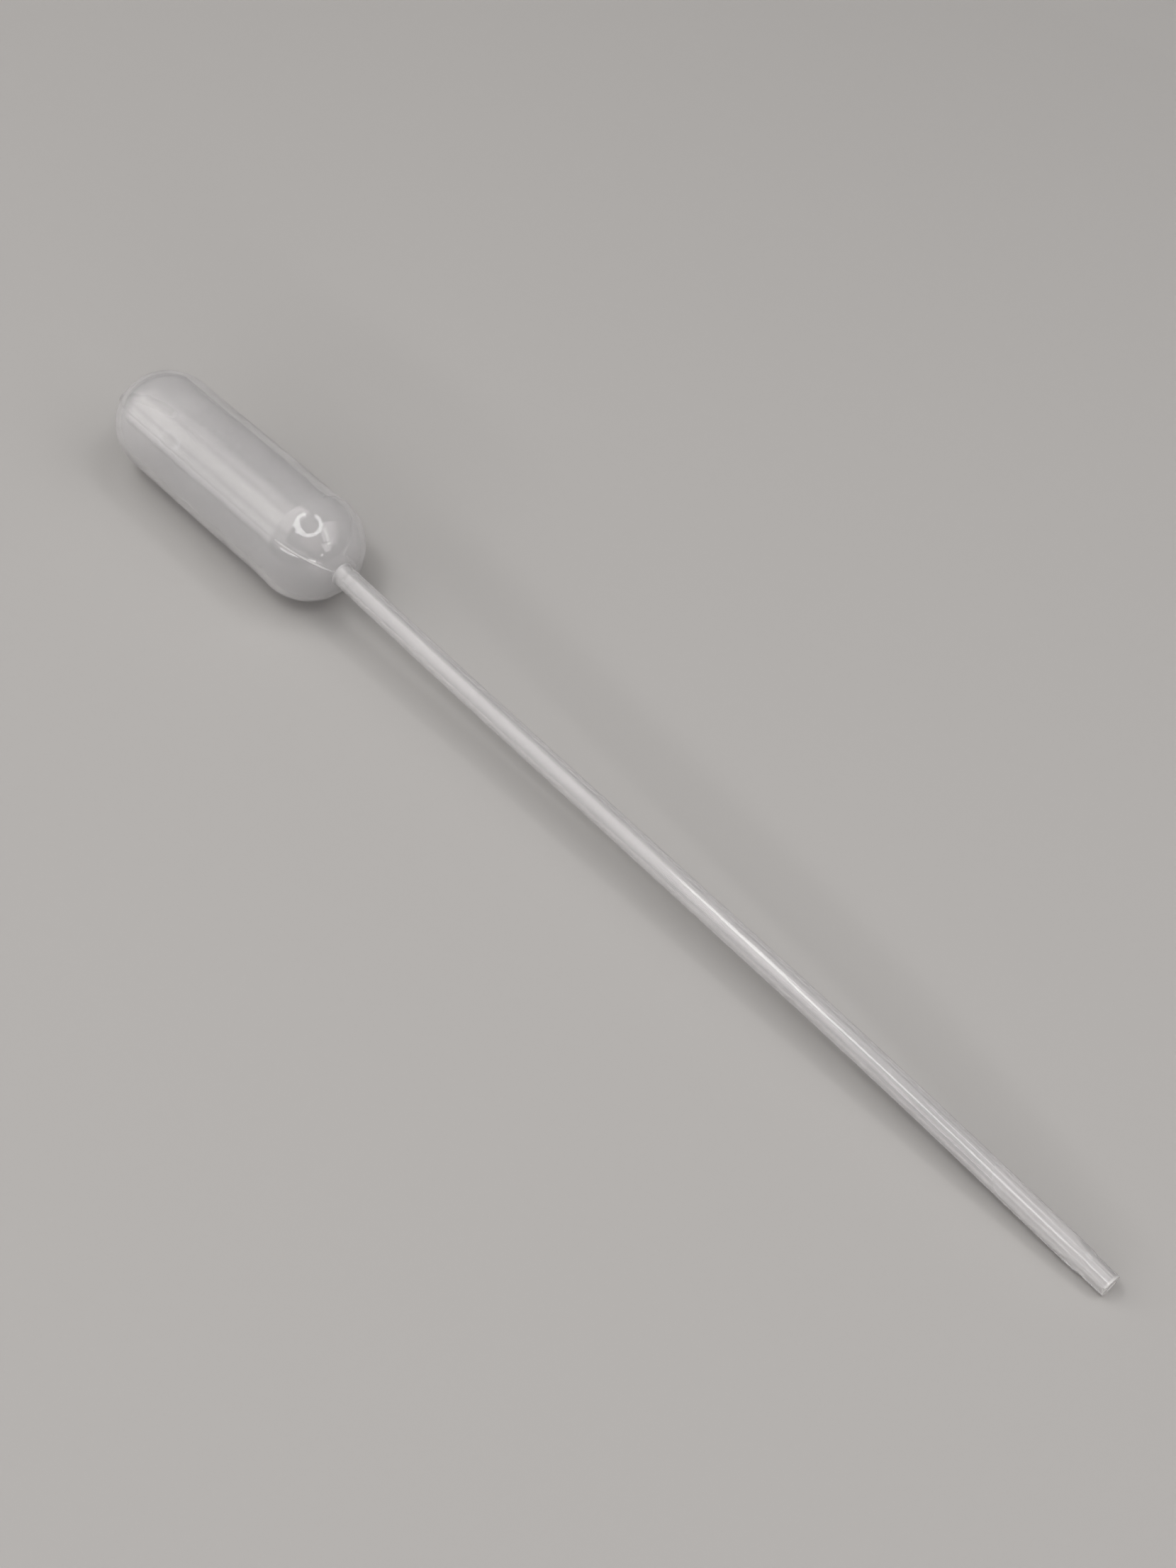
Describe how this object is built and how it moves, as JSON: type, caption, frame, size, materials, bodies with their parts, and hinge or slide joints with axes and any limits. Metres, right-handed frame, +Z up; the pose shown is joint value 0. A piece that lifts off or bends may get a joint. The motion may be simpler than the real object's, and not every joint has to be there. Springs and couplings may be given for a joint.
{
  "type": "dropper pipette",
  "caption": "Soft plastic dropper pipette: a long squeeze bulb with domed ends and a thin, slightly bowed stem that narrows to a cut tip.",
  "frame": {"origin": "under the middle of the length, on the surface that the pipette lies on", "axes": "+X along the length, from the bulb to the tip; +Z up"},
  "size_m": [0.1551, 0.013, 0.0132],
  "materials": {
    "translucent_plastic": "satin, milky translucent"
  },
  "bodies": {
    "root": {"pipette": "translucent_plastic"}
  },
  "joints": []
}
